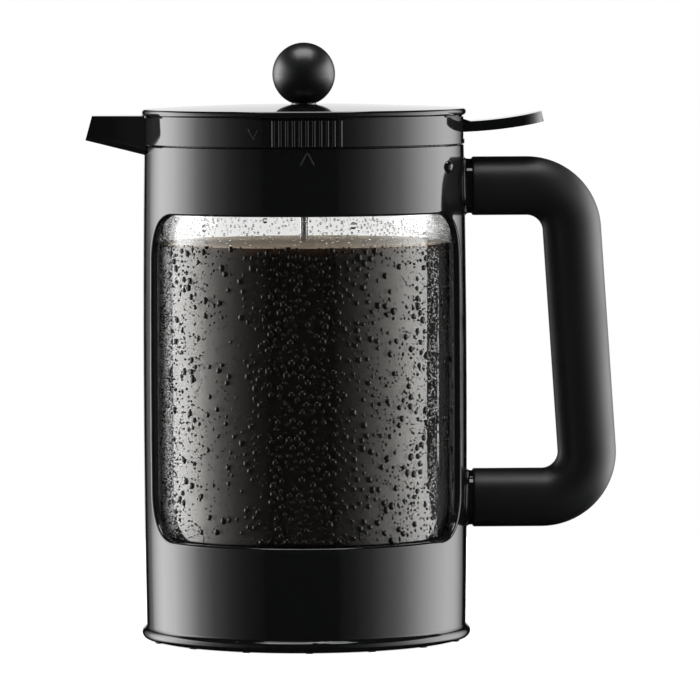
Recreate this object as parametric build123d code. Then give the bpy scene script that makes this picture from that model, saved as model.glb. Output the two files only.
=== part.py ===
from build123d import *
import math
import os

# Press-style cold brew coffee maker, in millimetres.
# +Z is up, +X points at the handle and -X at the spout. The origin is on the table, on the beaker's axis.

# ---------------------------------------------------------------- beaker
beaker_radius = 55.0
beaker_wall = 2.2
beaker_floor = 3.0
beaker_foot_round = 12.0
beaker_rim_drop = 1.5          # rim below the frame's top edge

# ---------------------------------------------------------------- frame
frame_height = 184.0
frame_wall = 2.4
frame_floor = 2.6
beaker_gap = 2.2               # beaker to the frame's wall, at the top
belly_bulge = 0.85             # how far the belly stands out past the top edge
belly_height = 102.0
foot_growth = 0.1              # wall's foot past the top edge
lip_bulge = 1.75               # bead at the foot, past the wall
lip_height = 4.4
lip_neck = 1.2                 # hollow round between the bead and the wall
window_bottom = 38.5
window_top_drop = 25.0         # from the frame's top edge
window_corner = 17.0
column_half_angle = 18.5       # of the posts between the windows, degrees
window_edge_round = 1.1
rim_round = 0.6                # outside of the top edge
rib_count = 8                  # ribs that centre the beaker's foot
rib_width = 2.0
rib_clearance = 0.35
rib_drop = 5.0                 # rib ends below the window
stud_radius = 2.6
stud_rise = 1.8
stud_angle = -28.5             # from the handle towards the front, degrees
stud_drop = 8.0                # from the frame's top edge

# ---------------------------------------------------------------- foot ring and beaker pad
foot_ring_width = 8.0
foot_ring_gap = 0.15
foot_ring_inset = 1.2          # from the wall's foot
foot_ring_thickness = 1.6
nub_height = 0.5
nub_count = 16
nub_width = 2.4
nub_length = 2.0
pad_thickness = 1.8
pad_width = 15.0
pad_edge_margin = 2.0          # from the flat of the beaker's foot

# ---------------------------------------------------------------- handle
grip_diameter = 21.9
grip_thickness = 2.2
grip_start = 2.7               # frame's top edge to the sleeve
grip_end_round = 0.9
upper_arm_drop = 15.8          # frame's top edge to the arm's centre line
lower_arm_height = 51.6
grip_reach = 39.2              # frame's top edge to the grip's centre line
grip_lean = 3.75               # outwards, going down, degrees
grip_bend = 17.0
neck_diameter = 20.4
neck_root_round = 1.2
spigot_radius = 6.5
spigot_length = 2.8
spigot_clearance = 0.1
core_clearance = 0.1
screw_radius = 2.0
screw_length = 20.0
screw_head_radius = 3.6
screw_head_height = 1.5
screw_seat_depth = 0.15
screw_clearance = 0.05

# ---------------------------------------------------------------- lid body
lid_overhang = 0.3             # band past the frame's top edge
seam_gap = 0.15
band_height = 10.15
band_wall = 2.2
band_edge_round = 0.35         # outside of its lower edge
lid_floor = 1.8
skirt_depth = 5.5
skirt_wall = 1.2
skirt_clearance = 0.25
plug_depth = 10.0
plug_wall = 2.0
grip_rib_count = 11
grip_rib_pitch = 2.35          # degrees
grip_rib_width = 1.35
grip_rib_height = 0.5
grip_rib_margin = 0.4
grip_rib_round = 0.6

# ---------------------------------------------------------------- lid seal
seal_wall = 1.4
seal_fin = 1.25
seal_fin_height = 1.6
seal_clearance = 0.3           # to the glass
seal_seat_gap = 0.05           # to the lid
seal_rise = 0.8                # its lower end above the plug's

# ---------------------------------------------------------------- lid cover
cover_overhang = 0.55          # past the band
cover_groove = 0.6             # shadow gap between the band and the rim
cover_groove_depth = 0.8
cover_rim = 2.35
cover_rise = 1.8               # dome
cover_boss = 0.3               # flat that the knob stands on, above the dome
cover_thickness = 1.4
cover_seat = 2.6               # flat ring that lies on the band and just inside it
cover_skirt_depth = 2.4
cover_skirt_wall = 1.4
cover_clearance = 0.15

# ---------------------------------------------------------------- spout
spout_reach = 21.4             # band to the lower tip of the mouth
spout_root_depth = 5.2         # band's outside to the widest section
spout_mouth_half_width = 7.5
spout_root_half_width = 13.5
spout_flare = 1.4              # how late the sides spread towards the band
spout_mouth_height = 9.1
spout_mouth_lean = 15.5        # degrees
spout_slope = 13.8             # of its underside, degrees
spout_wall = 1.7
spout_round = 3.0
spout_roof_rise = 0.7          # above the band's top edge
spout_frame_gap = 0.35

# ---------------------------------------------------------------- rod, guide and knob
rod_radius = 1.6
rod_clearance = 0.05
rod_thread_clearance = 0.03
bushing_wall = 2.0
bushing_length = 11.0
bushing_flange = 1.2
bushing_flange_width = 1.2
bushing_clearance = 0.03
guide_wall = 1.8
guide_depth = 4.0
cover_hole_gap = 0.6
knob_radius = 11.7
knob_flat_radius = 4.6
knob_gap = 0.05
insert_radius = 3.2
insert_length = 9.0
insert_clearance = 0.03
rod_engagement = 8.0

# ---------------------------------------------------------------- filter
filter_height = 15.0           # mesh above the beaker's floor
filter_clearance = 0.3
mesh_thickness = 0.4
mesh_rim = 3.0
coil_radius = 1.2
coil_gap = 0.1
plate_thickness = 0.7
plate_dish = 2.2
plate_hub_radius = 10.0
plate_slope_width = 6.0
plate_hole_radius = 3.0
plate_hole_count = 12
plate_hole_circle = 32.0
cross_plate_inset = 4.0
cross_spoke_count = 6
cross_spoke_width = 4.0
cross_rim_width = 4.5
cross_hub_radius = 5.0
cross_hub_length = 5.0
collar_radius = 4.0
collar_length = 2.5

# ---------------------------------------------------------------- lever and valve
pivot_reach = 24.0             # lever's axle from the rod
pivot_height = 4.4             # above the lid's floor
pin_radius = 1.5
pin_clearance = 0.05
pin_seat_clearance = 0.03
ear_thickness = 2.2
ear_gap = 0.3
ear_width = 7.0
ear_rise = 3.2                 # above the axle
lever_width = 20.0
lever_thickness = 3.9
lever_reach = 28.9             # past the band
lever_mid_rise = 1.3
lever_tip_rise = 3.8
lever_end_round = 8.5
lever_notch_gap = 0.6
shoulder_rise = 1.2            # of the ramp behind the thumb tab
shoulder_length = 3.6
shoulder_inset = 1.2           # into the band's notch
plate_half_width = 9.0         # of the lever inside the lid
arm_width = 7.0
arm_thickness = 2.8
arm_boss_radius = 5.2
hub_radius = 3.0
ring_clearance = 0.8
ring_width = 3.4
stopper_reach = 36.0           # pour hole from the rod, towards the spout
pour_hole_radius = 7.0
seat_height = 0.9
seat_width = 2.0
stopper_play = 0.9
stopper_dip = 1.4              # spigot's reach into the pour hole
valve_seal_thickness = 1.0
valve_seal_gap = 0.1
stem_radius = 2.4
stem_clearance = 0.05
stem_head = 0.55
stem_head_width = 0.8
spring_reach = 16.0            # from the lever's axle, towards the thumb
spring_radius = 3.0
spring_wire_radius = 0.4
spring_turns = 4
spring_cup_depth = 6.0
spring_cup_gap = 0.6
spring_cup_wall = 1.2
dam_wall = 1.4
dam_radius = 11.0
dam_gap = 0.3

# ---------------------------------------------------------------- sizes that follow from the ones above
beaker_inner = beaker_radius - beaker_wall
top_radius = beaker_radius + beaker_gap + frame_wall
belly_radius = top_radius + belly_bulge
foot_radius = top_radius + foot_growth
floor_top = foot_ring_thickness + frame_floor
beaker_bottom = floor_top + pad_thickness
beaker_rim = frame_height - beaker_rim_drop
foot_ring_radius = foot_radius - foot_ring_inset
upper_arm_height = frame_height - upper_arm_drop
stud_height = frame_height - stud_drop
window_top = frame_height - window_top_drop

band_radius = top_radius + lid_overhang
band_inner = band_radius - band_wall
band_bottom = frame_height + seam_gap
band_top = band_bottom + band_height
lid_floor_top = band_bottom + lid_floor
seal_radius = beaker_inner - seal_clearance
plug_radius = seal_radius - seal_fin - seal_wall - seal_seat_gap
skirt_radius = top_radius - frame_wall - skirt_clearance

cover_radius = band_radius + cover_overhang
cover_rim_top = band_top + cover_groove + cover_rim
cover_apex = cover_rim_top + cover_rise
dome_inner_radius = band_radius - cover_seat - cover_skirt_wall
knob_bottom = cover_apex + cover_boss + knob_gap

bushing_radius = rod_radius + rod_clearance + bushing_wall
guide_radius = bushing_radius + bushing_clearance + guide_wall
guide_bottom = band_bottom - guide_depth

grip_start_x = top_radius + grip_start
core_radius = grip_diameter / 2 - grip_thickness - core_clearance

mesh_bottom = beaker_bottom + beaker_floor + filter_height
filter_radius = beaker_inner - filter_clearance
coil_centre_radius = filter_radius - mesh_thickness - coil_gap - coil_radius
spiral_plate_radius = coil_centre_radius - coil_radius - coil_gap
cross_plate_radius = filter_radius - cross_plate_inset
cross_hub_bottom = mesh_bottom - plate_thickness - cross_hub_length

pivot_z = lid_floor_top + pivot_height
arm_bottom = pivot_z - arm_thickness / 2
arm_top = pivot_z + arm_thickness / 2
seat_top = lid_floor_top + seat_height
valve_seal_bottom = seat_top + valve_seal_gap
valve_seal_top = valve_seal_bottom + valve_seal_thickness
stopper_radius = pour_hole_radius - stopper_play
spring_x = pivot_reach + spring_reach
spring_bottom = lid_floor_top - spring_cup_depth

spout_roof = band_top + spout_roof_rise
spout_tip_x = -(band_radius + spout_reach)
spout_root_x = -(band_radius - spout_root_depth)
spout_mouth_bottom = spout_roof - spout_mouth_height

STAND = (Align.CENTER, Align.CENTER, Align.MIN)


# ---------------------------------------------------------------- shared shapes
def disc(radius, bottom, top, x=0.0):
    """Upright cylinder between two heights."""
    return Pos(x, 0, bottom) * Cylinder(radius, top - bottom, align=STAND)


def ring(outer, inner, bottom, top, x=0.0):
    """Upright ring between two heights."""
    return disc(outer, bottom, top, x) - disc(inner, bottom, top, x)


def block(x0, x1, half_width, z0, z1):
    """Box between two stations along X, centred across Y."""
    return Pos((x0 + x1) / 2, 0, (z0 + z1) / 2) * Box(x1 - x0, 2 * half_width, z1 - z0)


def along_x(radius, x0, x1, z):
    """Cylinder along X between two stations."""
    return Pos(x0, 0, z) * Rot(0, 90, 0) * Cylinder(radius, x1 - x0, align=STAND)


def along_y(radius, length, x, z):
    """Cylinder along Y, centred."""
    return Pos(x, 0, z) * Rot(90, 0, 0) * Cylinder(radius, length)


def turned(*edges):
    """Solid of revolution about the vertical axis, from its closed (radius, height) outline."""
    return revolve(Plane.XZ * make_face(edges), Axis.Z)


def turned_points(*points):
    """Solid of revolution from straight-sided (radius, height) points."""
    return turned(*Polyline(*points, close=True).edges())


def around(shape, count, start=0.0):
    """Equally spaced copies of a shape about the vertical axis."""
    return [Rot(0, 0, start + 360 * k / count) * shape for k in range(count)]


# ---------------------------------------------------------------- frame
def barrel_line(inset):
    """Side line of the barrel from the lip up to the top edge, set in by a wall."""
    return ThreePointArc(
        (foot_radius - inset, lip_height),
        (belly_radius - inset, belly_height),
        (top_radius - inset, frame_height),
    )


def barrel_radius(height):
    """Outer radius of the barrel at a height."""
    line = barrel_line(0)
    return line.arc_center.X + math.sqrt(line.radius**2 - (height - line.arc_center.Y) ** 2)


def frame_shell():
    """Barrel wall, floor and beaded lip, as one turned section."""
    bead = foot_radius + lip_bulge / 2
    bead_middle = (nub_height + lip_height) / 2
    outer = barrel_line(0)
    inner = barrel_line(frame_wall)
    underside = Polyline(
        (0, foot_ring_thickness),
        (foot_ring_radius + foot_ring_gap, foot_ring_thickness),
        (foot_ring_radius + foot_ring_gap, nub_height),
        (bead, nub_height),
    )
    lip = ThreePointArc((bead, nub_height), (foot_radius + lip_bulge, bead_middle), outer @ 0)
    rim = Line(outer @ 1, inner @ 1)
    floor_edge = (foot_radius - frame_wall, floor_top)
    inside = Polyline(inner @ 0, floor_edge, (0, floor_top), (0, foot_ring_thickness))
    shell = turned(*underside.edges(), lip, outer, rim, inner, *inside.edges())
    neck = shell.edges().filter_by_position(Axis.Z, lip_height - 0.01, lip_height + 0.01)
    shell = fillet(neck.sort_by(lambda e: e.radius)[-1], lip_neck)
    top_edge = shell.edges().group_by(Axis.Z)[-1].sort_by(lambda e: e.radius)[-1]
    return fillet(top_edge, rim_round)


def window():
    """Cutter of one window: a sector of the wall with rounded corners, facing the front."""
    near, far = beaker_radius - 2 * window_corner, belly_radius + window_corner
    section = Polyline(
        (near, window_bottom), (far, window_bottom), (far, window_top), (near, window_top), close=True
    )
    sector = revolve(Plane.XZ * make_face(section), Axis.Z, 180 - 2 * column_half_angle)
    radial = sector.edges().filter_by(GeomType.LINE).filter_by(lambda e: abs(e.tangent_at(0.5).Z) < 0.5)
    return Rot(0, 0, 180 + column_half_angle) * fillet(radial, window_corner)


def on_barrel(edge):
    """Is this edge a window's rim on the outside of the barrel?"""
    point = edge.position_at(0.5)
    off = math.hypot(point.X, point.Y) - barrel_radius(point.Z)
    inside = window_bottom - 0.1 < point.Z < window_top + 0.1
    return inside and abs(off) < frame_wall / 10 and abs(point.Y) > 1


def centring_rib():
    """Upright rib on the inside of the wall, which holds the beaker's foot in the middle."""
    inner = beaker_radius + rib_clearance
    body = Pos(inner, 0, floor_top) * Box(
        foot_radius - frame_wall / 2 - inner,
        rib_width,
        window_bottom - rib_drop - floor_top,
        align=(Align.MIN, Align.CENTER, Align.MIN),
    )
    slope = body.edges().filter_by(Axis.Y).group_by(Axis.Z)[-1].sort_by(Axis.X)[0]
    return chamfer(slope, beaker_gap - rib_clearance)


def stud():
    """Small round stud on the wall, in front of the handle."""
    wall = barrel_radius(stud_height)
    ball = Pos(wall + stud_rise - stud_radius, 0, stud_height) * Sphere(stud_radius)
    ball -= disc(wall - frame_wall / 2, stud_height - stud_radius, stud_height + stud_radius)
    return Rot(0, 0, stud_angle) * ball


def neck_root(edge, height):
    """Is this edge the line where a handle neck leaves the barrel?"""
    point = edge.position_at(0.25)
    reach = math.hypot(point.Y, point.Z - height)
    outside = top_radius - frame_wall / 2 < point.X < grip_start_x - 0.5
    return outside and abs(reach - neck_diameter / 2) < 0.1


def frame():
    """Gloss moulding: barrel with floor and lip, two windows, centring ribs and two handle necks."""
    body = frame_shell()
    cutter = window()
    body -= [cutter, Rot(0, 0, 180) * cutter]
    body = fillet(body.edges().filter_by(on_barrel), window_edge_round)
    body += around(centring_rib(), rib_count, 180 / rib_count)
    for height in (upper_arm_height, lower_arm_height):
        body += along_x(neck_diameter / 2, top_radius - frame_wall / 2, grip_start_x, height)
        body = fillet(body.edges().filter_by(lambda e: neck_root(e, height)), neck_root_round)
        socket_end = grip_start_x - spigot_length - spigot_clearance
        body -= along_x(spigot_radius + spigot_clearance, socket_end, grip_start_x, height)
        body -= along_x(screw_radius + screw_clearance, top_radius - 2 * frame_wall, grip_start_x, height)
    return body + stud()


def foot_ring():
    """Soft ring under the base, with nubs that reach out under the lip."""
    nub = Pos(foot_ring_radius - 0.5, 0, 0) * Box(
        nub_length + 0.5, nub_width, nub_height, align=(Align.MIN, Align.CENTER, Align.MIN)
    )
    body = ring(foot_ring_radius, foot_ring_radius - foot_ring_width, 0, foot_ring_thickness)
    return body + around(nub, nub_count, 90)


def beaker_pad():
    """Soft ring between the frame's floor and the flat of the beaker's foot."""
    outer = beaker_radius - beaker_foot_round - pad_edge_margin
    return ring(outer, outer - pad_width, floor_top, beaker_bottom)


# ---------------------------------------------------------------- beaker
def beaker():
    """Straight glass cylinder with a rounded foot and a fire-polished rim."""
    body = disc(beaker_radius, beaker_bottom, beaker_rim)
    body = fillet(body.edges().group_by(Axis.Z)[0], beaker_foot_round)
    hollow = disc(beaker_inner, beaker_bottom + beaker_floor, beaker_rim + 1)
    hollow = fillet(hollow.edges().group_by(Axis.Z)[0], beaker_foot_round - beaker_wall)
    body -= hollow
    return fillet(body.edges().group_by(Axis.Z)[-1], 0.45 * beaker_wall)


# ---------------------------------------------------------------- handle
def handle_path():
    """Centre line of the handle: upper arm, leaning grip and lower arm."""
    top_x = top_radius + grip_reach
    bottom_x = top_x + (upper_arm_height - lower_arm_height) * math.tan(math.radians(grip_lean))
    return Plane.XZ * FilletPolyline(
        (grip_start_x, upper_arm_height),
        (top_x, upper_arm_height),
        (bottom_x, lower_arm_height),
        (grip_start_x, lower_arm_height),
        radius=grip_bend,
    )


def handle_tube(radius):
    """Round bar along the handle's centre line."""
    path = handle_path()
    return sweep(Plane(origin=path @ 0, z_dir=path % 0) * Circle(radius), path)


def handle_grip():
    """Soft-touch sleeve over the handle's core."""
    body = handle_tube(grip_diameter / 2)
    ends = body.edges().filter_by(GeomType.CIRCLE).filter_by_position(
        Axis.X, grip_start_x - 0.1, grip_start_x + 0.1
    )
    return fillet(ends, grip_end_round) - handle_tube(core_radius + core_clearance)


def handle_core():
    """Rigid bar inside the sleeve, with a spigot and a screw bore at each end."""
    body = handle_tube(core_radius)
    for height in (upper_arm_height, lower_arm_height):
        body += along_x(spigot_radius, grip_start_x - spigot_length, grip_start_x + 1, height)
        bore_end = barrel_radius(height) - frame_wall + screw_length + 1
        body -= along_x(screw_radius + screw_clearance, grip_start_x - spigot_length - 1, bore_end, height)
    return body


def handle_screws():
    """Two pan-head screws, driven from inside the frame into the core."""
    screws = []
    for height in (upper_arm_height, lower_arm_height):
        seat = barrel_radius(height) - frame_wall - screw_seat_depth
        head = along_x(screw_head_radius, seat - screw_head_height, seat, height)
        head = fillet(head.edges().filter_by(GeomType.CIRCLE).group_by(Axis.X)[0], screw_head_height / 2)
        screws.append(head + along_x(screw_radius, seat - 0.2, seat + screw_length, height))
    return Compound(children=[s.solid() for s in screws])


# ---------------------------------------------------------------- lid body
def spout_half_width(x):
    """Half the spout's width at a station, narrow at the mouth and flaring into the band."""
    share = max((x - spout_tip_x) / (spout_root_x - spout_tip_x), 0)
    return spout_mouth_half_width + (spout_root_half_width - spout_mouth_half_width) * share**spout_flare


def spout_underside(x):
    """Height of the spout's underside at a station."""
    return spout_mouth_bottom - (x - spout_tip_x) * math.tan(math.radians(spout_slope))


def channel_underside(x):
    """Height of the pouring channel's floor at a station."""
    share = (x - spout_tip_x) / (-band_inner - spout_tip_x)
    mouth = spout_mouth_bottom + spout_wall
    return mouth + (lid_floor_top - mouth) * share


def spout_section(x, half_width, bottom, top, corner):
    """Upright section with a flat roof and rounded lower corners."""
    corners = [(-half_width, top), (-half_width, bottom), (half_width, bottom), (half_width, top)]
    face = make_face(Polyline(*corners, close=True))
    face = fillet(face.vertices().group_by(Axis.Y)[0], corner)
    return Plane(origin=(x, 0, 0), x_dir=(0, -1, 0), z_dir=(-1, 0, 0)) * face


def spout_stations():
    """Stations of the spout's sections, from inside the band to past the mouth."""
    inside = spout_root_x + spout_root_depth / 2
    steps = 4
    return [inside + (spout_tip_x - 1 - inside) * k / steps for k in range(steps + 1)]


def spout_solid():
    """Outside of the spout, flaring from the mouth into the band."""
    sections = [
        spout_section(x, spout_half_width(x), spout_underside(x), spout_roof, spout_round)
        for x in spout_stations()
    ]
    return loft(sections) - mouth_cutter()


def spout_channel():
    """Inside of the spout, open at both ends."""
    top = spout_roof - spout_wall
    sections = [
        spout_section(x, spout_half_width(x) - spout_wall, channel_underside(x), top, spout_round / 2)
        for x in spout_stations()
    ]
    return loft(sections)


def mouth_cutter():
    """Everything past the leaning plane of the mouth."""
    beyond = Box(30, 80, 60, align=(Align.MAX, Align.CENTER, Align.CENTER))
    return Pos(spout_tip_x, 0, spout_mouth_bottom) * Rot(0, spout_mouth_lean, 0) * beyond


def cover_underside(gap):
    """Arc of the cover's hollow side in the (radius, height) section, lowered by a gap."""
    edge = (dome_inner_radius, band_top - gap)
    apex = (0, cover_apex - cover_thickness - gap)
    rise = apex[1] - edge[1]
    sphere_radius = (dome_inner_radius**2 + rise**2) / (2 * rise)
    return RadiusArc(apex, edge, sphere_radius)


def lid_room():
    """Space between the lid's floor and the cover, where inner walls may stand."""
    top = cover_underside(dam_gap)
    floor = lid_floor_top - lid_floor / 2
    sides = Polyline(top @ 1, (dome_inner_radius, floor), (0, floor), top @ 0)
    return turned(top, *sides.edges())


def dam():
    """Wall round the pour hole that leads the coffee to the spout."""
    start = -band_inner - 1
    spread = spout_root_half_width - spout_wall
    far = Pos(start, 0) * Rectangle(1, 2 * spread)
    near = Pos(-stopper_reach, 0) * Circle(dam_radius)
    inner = make_hull([*far.edges(), *near.edges()])
    floor = lid_floor_top - lid_floor / 2
    wall = extrude(Pos(0, 0, floor) * (offset(inner, dam_wall) - inner), cover_apex - floor)
    arm_way = block(-stopper_reach, 0, arm_width / 2 + ear_gap * 2, arm_bottom - 0.6, cover_apex)
    return (wall & lid_room() & disc(band_inner + 0.2, floor, cover_apex)) - arm_way


def ears():
    """Two ears on the lid's floor that hold the lever's axle."""
    pair = []
    for side in (-1, 1):
        y = side * (plate_half_width + ear_gap + ear_thickness / 2)
        ear = Pos(pivot_reach, y, lid_floor_top - 0.2) * Box(
            ear_width, ear_thickness, pivot_height + ear_rise + 0.2, align=STAND
        )
        ear = fillet(ear.edges().filter_by(Axis.Y).group_by(Axis.Z)[-1], ear_width / 3)
        pair.append(ear)
    return pair


def grip_ribs():
    """Finger ribs on the front of the band."""
    rib = Pos(band_radius - 0.4, 0, band_bottom + grip_rib_margin) * Box(
        0.4 + grip_rib_height,
        grip_rib_width,
        band_height - 2 * grip_rib_margin,
        align=(Align.MIN, Align.CENTER, Align.MIN),
    )
    rib = fillet(rib.edges().filter_by(Axis.Z).group_by(Axis.X)[-1], grip_rib_round)
    middle = (grip_rib_count - 1) / 2
    return [Rot(0, 0, -90 + (k - middle) * grip_rib_pitch) * rib for k in range(grip_rib_count)]


def lid_shell():
    """Band, floor, plug, skirt and rod guide of the lid."""
    body = ring(band_radius, band_inner, band_bottom, band_top)
    low_edge = body.edges().group_by(Axis.Z)[0].sort_by(lambda e: e.radius)[-1]
    body = fillet(low_edge, band_edge_round)
    body += disc(band_inner + 0.5, band_bottom, lid_floor_top)
    body += ring(skirt_radius, skirt_radius - skirt_wall, band_bottom - skirt_depth, band_bottom + 0.5)
    body += ring(plug_radius, plug_radius - plug_wall, band_bottom - plug_depth, band_bottom + 0.5)
    body += disc(guide_radius, guide_bottom, pivot_z)
    cup_radius = spring_radius + spring_cup_gap + spring_cup_wall
    body += disc(cup_radius, spring_bottom - spring_cup_wall, lid_floor_top, spring_x)
    return body


def lid_body():
    """Gloss moulding: band with finger ribs, spout, floor with the valve's seat, plug and rod guide."""
    spout = spout_solid() - disc(band_inner + 0.5, band_bottom, spout_roof + 1)
    spout -= disc(top_radius + spout_frame_gap, band_bottom - 20, band_bottom)
    spout -= disc(cover_radius + cover_clearance, band_top, spout_roof + 1)
    body = lid_shell() + spout + dam()
    body += ears()
    seat_radius = pour_hole_radius + seat_width
    body += ring(seat_radius, pour_hole_radius, lid_floor_top - 0.2, seat_top, -stopper_reach)
    body += grip_ribs()
    body -= spout_channel() - disc(band_inner - 0.3, lid_floor_top, spout_roof)
    body -= disc(pour_hole_radius, band_bottom - 1, lid_floor_top + 0.1, -stopper_reach)
    body -= disc(bushing_radius + bushing_clearance, guide_bottom - 1, pivot_z + 1)
    body -= disc(spring_radius + spring_cup_gap, spring_bottom, lid_floor_top + 1, spring_x)
    body -= along_y(pin_radius + pin_seat_clearance, 4 * plate_half_width, pivot_reach, pivot_z)
    notch = lever_width / 2 + lever_notch_gap
    body -= block(band_inner - 1, band_radius + 1, notch, lid_floor_top, band_top + 1)
    return body


def lid_seal():
    """Soft ring round the plug: collar with two fins, and a flange on the beaker's rim."""
    inner = plug_radius + seal_seat_gap
    bottom = band_bottom - plug_depth + seal_rise
    top = band_bottom - seal_seat_gap
    body = ring(inner + seal_wall, inner, bottom, top)
    body += ring(beaker_radius - seal_clearance, inner, beaker_rim + seal_clearance, top)
    root = inner + seal_wall / 2
    for low in (bottom, bottom + 2 * seal_fin_height):
        high = low + seal_fin_height
        body += turned_points((root, low), (seal_radius, high), (root, high))
    return body


def rod_bushing():
    """Low-friction bush that guides the rod, pushed into the guide from below."""
    inner = rod_radius + rod_clearance
    flange = bushing_radius + bushing_flange_width
    bottom = guide_bottom - bushing_flange
    body = ring(bushing_radius, inner, bottom, bottom + bushing_length)
    return body + ring(flange, inner, bottom, guide_bottom)


# ---------------------------------------------------------------- lid cover
def lid_cover():
    """Gloss disc with a slight dome and a rounded rim, seated in the band."""
    rim_bottom = band_top + cover_groove
    middle = (rim_bottom + cover_rim_top) / 2
    edge = cover_radius - cover_rim / 4
    groove = band_radius - cover_groove_depth
    hollow = cover_underside(0)
    sphere_radius = (edge**2 + cover_rise**2) / (2 * cover_rise)
    dome = RadiusArc((0, cover_apex), (edge, cover_rim_top), sphere_radius)
    rim = ThreePointArc((edge, cover_rim_top), (cover_radius, middle), (edge, rim_bottom))
    underside = Polyline(
        (edge, rim_bottom), (groove, rim_bottom), (groove, band_top), (dome_inner_radius, band_top)
    )
    axis = Line((0, cover_apex - cover_thickness), (0, cover_apex))
    body = turned(dome, rim, *underside.edges(), hollow, axis)
    outer = band_inner - cover_clearance
    skirt = ring(outer, outer - cover_skirt_wall, band_top - cover_skirt_depth, band_top + 0.2)
    skirt -= block(0, band_radius, lever_width / 2 + 2 * lever_notch_gap, band_top - band_height, cover_apex)
    skirt -= block(-band_radius, 0, spout_root_half_width, band_top - band_height, cover_apex)
    boss = disc(knob_flat_radius, cover_apex - cover_thickness / 2, cover_apex + cover_boss)
    return body + skirt + boss - disc(rod_radius + cover_hole_gap, band_bottom, cover_apex + 1)


# ---------------------------------------------------------------- lever and valve
def thumb_tab():
    """Curved thumb plate outside the band, round at its end."""
    start, end = band_inner - 4, band_radius + lever_reach
    middle = (band_radius + end) / 2
    half = lever_thickness / 2
    lean = 0.12 * lever_thickness
    crest, tip = pivot_z + lever_mid_rise, pivot_z + lever_tip_rise
    top = ThreePointArc((start, pivot_z + half), (middle, crest + half), (end - lean, tip + half))
    bottom = ThreePointArc((start, pivot_z - half), (middle, crest - half), (end + lean, tip - half))
    side = make_face([top, bottom, Line(top @ 0, bottom @ 0), Line(top @ 1, bottom @ 1)])
    plan = Pos((start + end) / 2, 0) * Rectangle(end - start + 1, lever_width)
    plan = fillet(plan.vertices().group_by(Axis.X)[-1], lever_end_round)
    profile = extrude(Plane.XZ * side, lever_width, both=True)
    return profile & extrude(Pos(0, 0, band_bottom) * plan, band_height * 2)


def lever_plate():
    """Flat part of the lever inside the lid: plate, ring round the rod guide, and arm to the stopper."""
    ring_inner = guide_radius + ring_clearance
    plan = Pos((band_inner - 2) / 2, 0) * Rectangle(band_inner - 2, 2 * plate_half_width)
    plan += Circle(ring_inner + ring_width)
    plan += Pos(-stopper_reach / 2, 0) * Rectangle(stopper_reach, arm_width)
    plan += Pos(-stopper_reach, 0) * Circle(arm_boss_radius)
    plan -= Circle(ring_inner)
    plan -= Pos(-stopper_reach, 0) * Circle(stem_radius + stem_clearance)
    return extrude(Pos(0, 0, arm_bottom) * plan, arm_thickness)


def thumb_lever():
    """Rocker: thumb tab with a shoulder, hub on the axle, and the arm that lifts the stopper."""
    body = thumb_tab() + lever_plate() + along_y(hub_radius, 2 * plate_half_width, pivot_reach, pivot_z)
    start, lever_top = band_radius - shoulder_inset, pivot_z + lever_thickness / 2
    end = start + shoulder_length
    ramp = Polyline(
        (start, pivot_z), (end, pivot_z), (end, lever_top), (start, lever_top + shoulder_rise), close=True
    )
    body += extrude(Plane.XZ * make_face(ramp), lever_width / 2, both=True)
    return body - along_y(pin_radius + pin_clearance, 4 * plate_half_width, pivot_reach, pivot_z)


def lever_pin():
    """Steel axle through the ears and the lever's hub."""
    return along_y(pin_radius, 2 * (plate_half_width + ear_gap + ear_thickness), pivot_reach, pivot_z)


def lever_spring():
    """Compression spring between the cup in the lid's floor and the lever."""
    height = arm_bottom - spring_bottom - 2 * spring_wire_radius
    coil = Helix(height / spring_turns, height, spring_radius)
    section = Plane(origin=coil @ 0, z_dir=coil % 0) * RegularPolygon(spring_wire_radius, 8)
    wire = sweep(section, coil, is_frenet=True)
    return Pos(spring_x, 0, spring_bottom + spring_wire_radius) * wire


def stopper():
    """Valve body under the lever's arm: disc, spigot in the pour hole, and snap stem through the arm."""
    flange = pour_hole_radius + seat_width
    body = disc(flange, valve_seal_top, arm_bottom)
    body += disc(stopper_radius, lid_floor_top - stopper_dip, arm_bottom)
    body += disc(stem_radius, valve_seal_top, arm_top + stem_head)
    body += disc(stem_radius + stem_head_width, arm_top, arm_top + stem_head)
    return Pos(-stopper_reach, 0, 0) * body


def stopper_seal():
    """Soft washer between the stopper and its seat."""
    outer = pour_hole_radius + seat_width
    return ring(outer, stopper_radius + valve_seal_gap, valve_seal_bottom, valve_seal_top, -stopper_reach)


# ---------------------------------------------------------------- knob and rod
def knob():
    """Ball knob with a small flat underneath and a bore for its insert."""
    centre = knob_bottom + math.sqrt(knob_radius**2 - knob_flat_radius**2)
    ball = Pos(0, 0, centre) * Sphere(knob_radius)
    body = ball & disc(2 * knob_radius, knob_bottom, centre + knob_radius + 1)
    return body - disc(insert_radius + insert_clearance, knob_bottom - 1, knob_bottom + insert_length)


def knob_insert():
    """Brass insert that takes the rod's thread."""
    bore = rod_radius + rod_thread_clearance
    return ring(insert_radius, bore, knob_bottom + knob_gap, knob_bottom + insert_length)


def plunger_rod():
    """Steel rod with a collar that bears on the filter."""
    collar = mesh_bottom + mesh_thickness + plate_thickness
    body = disc(rod_radius, cross_hub_bottom, knob_bottom + rod_engagement)
    return body + disc(collar_radius, collar, collar + collar_length)


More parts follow.
